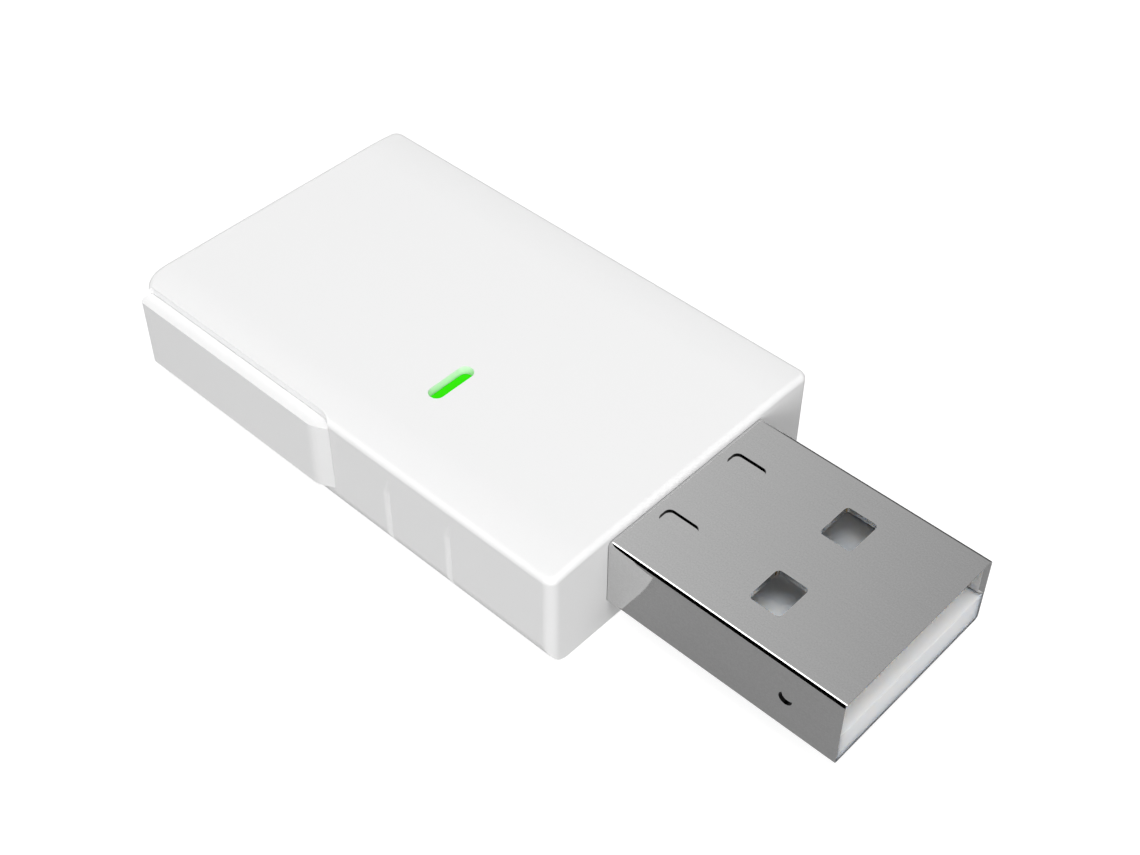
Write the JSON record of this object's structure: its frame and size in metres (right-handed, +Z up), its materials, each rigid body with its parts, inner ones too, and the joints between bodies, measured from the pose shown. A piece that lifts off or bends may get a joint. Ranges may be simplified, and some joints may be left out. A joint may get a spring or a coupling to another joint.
{
  "type": "bluetooth gateway dongle",
  "caption": "Flat rectangular radio gateway stick with a type A plug on one end, a long push button on one side and a lit slot lens on top",
  "frame": {"origin": "centre of the plug's cross-section in the plane of the housing's front wall, where the plug leaves the housing", "axes": "+X out along the plug, +Y to the long side opposite the push button, +Z up through the lens side"},
  "size_m": [0.0466, 0.0207, 0.0066],
  "materials": {
    "housing_white": "fine satin moulded white plastic",
    "lens_green": "clear moulded plastic lit green",
    "plug_steel": "smooth nickel-plated sheet steel",
    "insulator_white": "smooth white moulded insulator",
    "contact_gold": "gold-plated contact strip",
    "board_green": "glass-fibre laminate with solder mask",
    "switch_black": "moulded switch case",
    "plunger_grey": "moulded plunger",
    "lamp_amber": "clear encapsulated lamp",
    "can_tin": "tinned drawn sheet",
    "chip_black": "moulded epoxy package",
    "inductor_grey": "pressed ferrite block",
    "antenna_ceramic": "fired ceramic block",
    "capacitor_tan": "fired ceramic chips with plated ends",
    "resistor_dark": "glazed ceramic chips with plated ends"
  },
  "bodies": {
    "housing": {"top_shell": "housing_white", "bottom_cover": "housing_white", "light_pipe": "lens_green", "plug_shell": "plug_steel", "plug_insulator": "insulator_white", "contact_power": "contact_gold", "contact_data_minus": "contact_gold", "contact_data_plus": "contact_gold", "contact_ground": "contact_gold", "circuit_board": "board_green", "switch_body": "switch_black", "status_lamp": "lamp_amber", "shield_can": "can_tin", "radio_chip": "chip_black", "radio_crystal": "can_tin", "memory_chip": "chip_black", "voltage_regulator": "chip_black", "power_inductor": "inductor_grey", "surge_protector": "chip_black", "chip_antenna": "antenna_ceramic", "capacitors": "capacitor_tan", "resistors": "resistor_dark"},
    "button": {"side_button": "housing_white", "switch_plunger": "plunger_grey"}
  },
  "joints": [
    {"name": "button_press", "type": "slide", "parent": "housing", "child": "button", "axis": [0, 1, 0], "range_m": [0, 0.0003], "stiffness_N_per_m": 4000, "springref_m": -0.0001}
  ]
}
